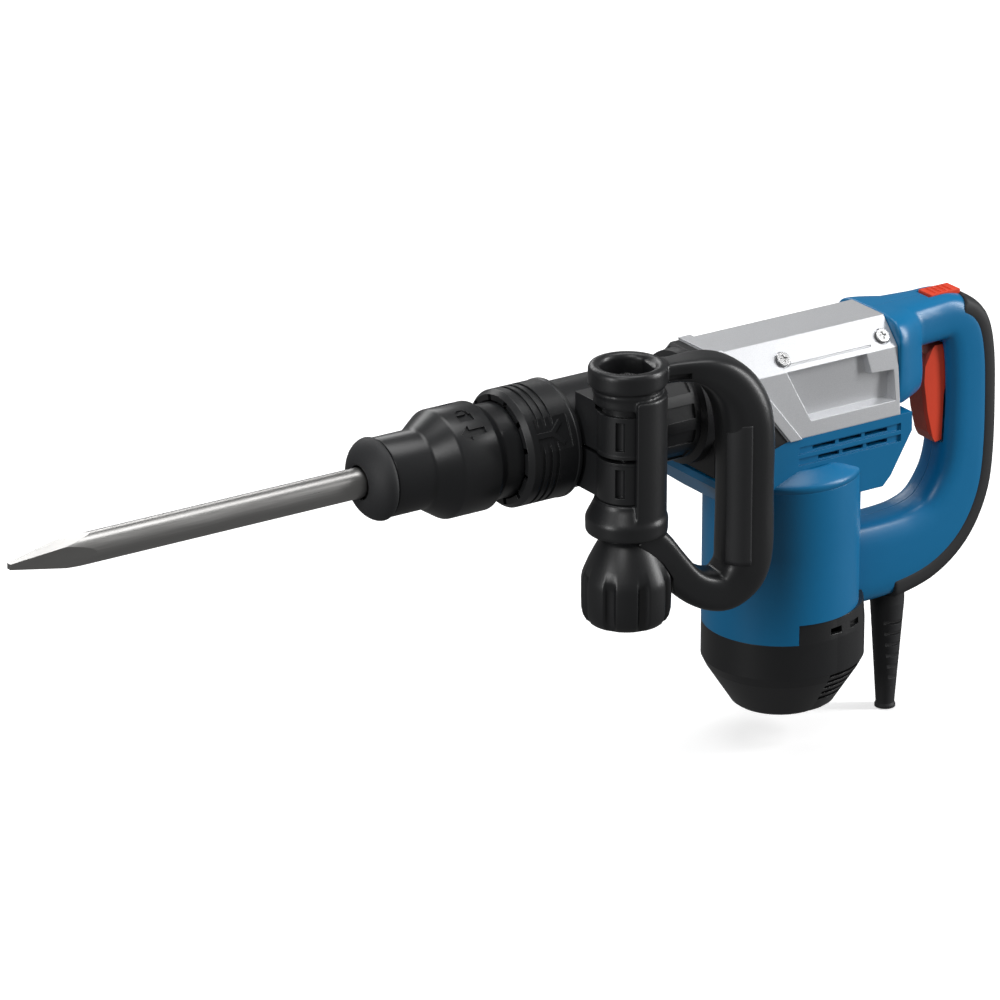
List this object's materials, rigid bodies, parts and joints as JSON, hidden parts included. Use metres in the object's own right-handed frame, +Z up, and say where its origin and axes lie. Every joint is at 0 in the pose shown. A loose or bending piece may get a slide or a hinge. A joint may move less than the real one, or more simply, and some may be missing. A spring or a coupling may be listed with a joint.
{
  "type": "demolition hammer",
  "caption": "Corded electric demolition hammer with a pointed chisel, turning tool holder, upright motor, rear D-handle with trigger and a swivelling D-shaped side handle.",
  "frame": {"origin": "on the tool axis at the mouth of the dust cap, where the chisel's round shank enters the machine", "axes": "-X along the chisel to its point, +X to the rear handle, +Z up, -Y the side that carries the side handle"},
  "size_m": [0.6992, 0.1341, 0.294],
  "materials": {
    "chisel_steel": "ground tool steel",
    "bright_steel": "machined steel",
    "brass": "turned brass",
    "copper": "lacquered copper wire",
    "iron_laminations": "laminated iron",
    "carbon": "carbon",
    "light_alloy": "cast aluminium",
    "silver_cover": "satin silver",
    "rubber_black": "matt moulded rubber",
    "black_plastic": "fine spark-eroded texture",
    "band_steel": "black coated steel strap",
    "blue_plastic": "fine texture, blue",
    "red_plastic": "smooth red"
  },
  "bodies": {
    "housing": {"neck_housing": "black_plastic", "gear_housing": "black_plastic", "gear_cover": "silver_cover", "cover_screws": "bright_steel", "motor_housing": "blue_plastic", "motor_cap": "black_plastic", "handle_shell_left": "blue_plastic", "handle_shell_right": "blue_plastic", "handle_screws": "bright_steel", "rear_grip_rubber": "rubber_black", "switch_module": "black_plastic", "trigger_pin": "bright_steel", "trigger_spring": "bright_steel", "cable_guard": "rubber_black", "bearing_plate": "light_alloy", "stator_core": "iron_laminations", "field_coils": "copper", "brush_plate": "black_plastic", "brush_holders": "brass", "carbon_brushes": "carbon", "crank_bearing": "bright_steel", "shaft_bearing_upper": "bright_steel", "shaft_bearing_lower": "bright_steel", "hammer_tube": "bright_steel", "stop_washer": "bright_steel", "holder_bearing": "bright_steel"},
    "rotor": {"armature_shaft": "bright_steel", "armature_core": "iron_laminations", "armature_windings": "copper", "commutator": "copper", "cooling_fan": "black_plastic"},
    "crank": {"crank_gear": "bright_steel", "crankshaft": "bright_steel"},
    "piston": {"piston": "bright_steel", "piston_o_ring": "rubber_black", "wrist_pin": "bright_steel"},
    "rod": {"connecting_rod": "bright_steel", "crank_pin": "bright_steel"},
    "striker": {"striker": "bright_steel", "striker_o_ring": "rubber_black"},
    "holder": {"tool_holder": "bright_steel", "locking_rollers": "bright_steel", "dust_cap": "rubber_black", "index_disc": "bright_steel", "sleeve_spring": "bright_steel", "ring_spring": "bright_steel"},
    "impact_bolt": {"impact_bolt": "bright_steel"},
    "chisel": {"pointed_chisel": "chisel_steel"},
    "sleeve": {"locking_sleeve": "black_plastic", "lock_ring": "bright_steel"},
    "ring": {"vario_ring": "black_plastic"},
    "clamp": {"clamp_band": "band_steel", "clamp_jaw_upper": "black_plastic", "clamp_jaw_lower": "black_plastic", "clamp_bolt": "bright_steel"},
    "side_handle": {"side_handle": "black_plastic"},
    "knob_nut": {"knob_insert": "brass"},
    "knob": {"handle_knob": "black_plastic"},
    "trigger": {"trigger": "red_plastic"},
    "lock_slider": {"lock_on_slider": "red_plastic"}
  },
  "joints": [
    {"name": "rotor_spin", "type": "hinge", "parent": "housing", "child": "rotor", "pos_m": [0.307, 0, 0], "axis": [0, 0, 1], "continuous": true},
    {"name": "crank_spin", "type": "hinge", "parent": "housing", "child": "crank", "pos_m": [0.27325, 0, 0], "axis": [0, 0, 1], "continuous": true},
    {"name": "piston_slide", "type": "slide", "parent": "housing", "child": "piston", "axis": [1, 0, 0], "range_m": [0, 0.026]},
    {"name": "rod_swing", "type": "hinge", "parent": "piston", "child": "rod", "pos_m": [0.214, 0, 0], "axis": [0, 0, 1], "range_deg": [-15, 15]},
    {"name": "striker_slide", "type": "slide", "parent": "housing", "child": "striker", "axis": [1, 0, 0], "range_m": [0, 0.02]},
    {"name": "holder_turn", "type": "hinge", "parent": "housing", "child": "holder", "pos_m": [0.05, 0, 0], "axis": [1, 0, 0], "continuous": true},
    {"name": "chisel_slide", "type": "slide", "parent": "holder", "child": "chisel", "axis": [1, 0, 0], "range_m": [-0.012, 0]},
    {"name": "impact_bolt_slide", "type": "slide", "parent": "holder", "child": "impact_bolt", "axis": [1, 0, 0], "range_m": [-0.012, 0]},
    {"name": "sleeve_slide", "type": "slide", "parent": "holder", "child": "sleeve", "axis": [1, 0, 0], "range_m": [0, 0.007], "stiffness_N_per_m": 1800, "springref_m": -0.006, "deforming": ["sleeve_spring"]},
    {"name": "ring_slide", "type": "slide", "parent": "holder", "child": "ring", "axis": [-1, 0, 0], "range_m": [0, 0.004], "stiffness_N_per_m": 1500, "springref_m": -0.004, "deforming": ["ring_spring"]},
    {"name": "clamp_turn", "type": "hinge", "parent": "housing", "child": "clamp", "pos_m": [0.153, 0, 0], "axis": [1, 0, 0], "range_deg": [-180, 8]},
    {"name": "handle_swing", "type": "hinge", "parent": "clamp", "child": "side_handle", "pos_m": [0.153, -0.055, 0], "axis": [0, 0, 1], "range_deg": [-112, 0]},
    {"name": "knob_turn", "type": "hinge", "parent": "clamp", "child": "knob_nut", "pos_m": [0.153, -0.055, -0.07], "axis": [0, 0, 1], "range_deg": [0, 720]},
    {"name": "knob_travel", "type": "slide", "parent": "knob_nut", "child": "knob", "axis": [0, 0, -1], "range_m": [0, 0.003]},
    {"name": "trigger_press", "type": "hinge", "parent": "housing", "child": "trigger", "pos_m": [0.426, 0, -0.004], "axis": [0, -1, 0], "range_deg": [0, 4.5], "stiffness_Nm_per_rad": 2, "springref_deg": -4.58, "deforming": ["trigger_spring"]},
    {"name": "lock_on_slide", "type": "slide", "parent": "housing", "child": "lock_slider", "axis": [-1, 0, 0], "range_m": [0, 0.005]}
  ],
  "couplings": [
    {"joint": "crank_spin", "follows": "rotor_spin", "ratio": -0.22727},
    {"joint": "impact_bolt_slide", "follows": "chisel_slide", "ratio": 1},
    {"joint": "knob_turn", "follows": "knob_travel", "rad_per_m": 4188}
  ]
}
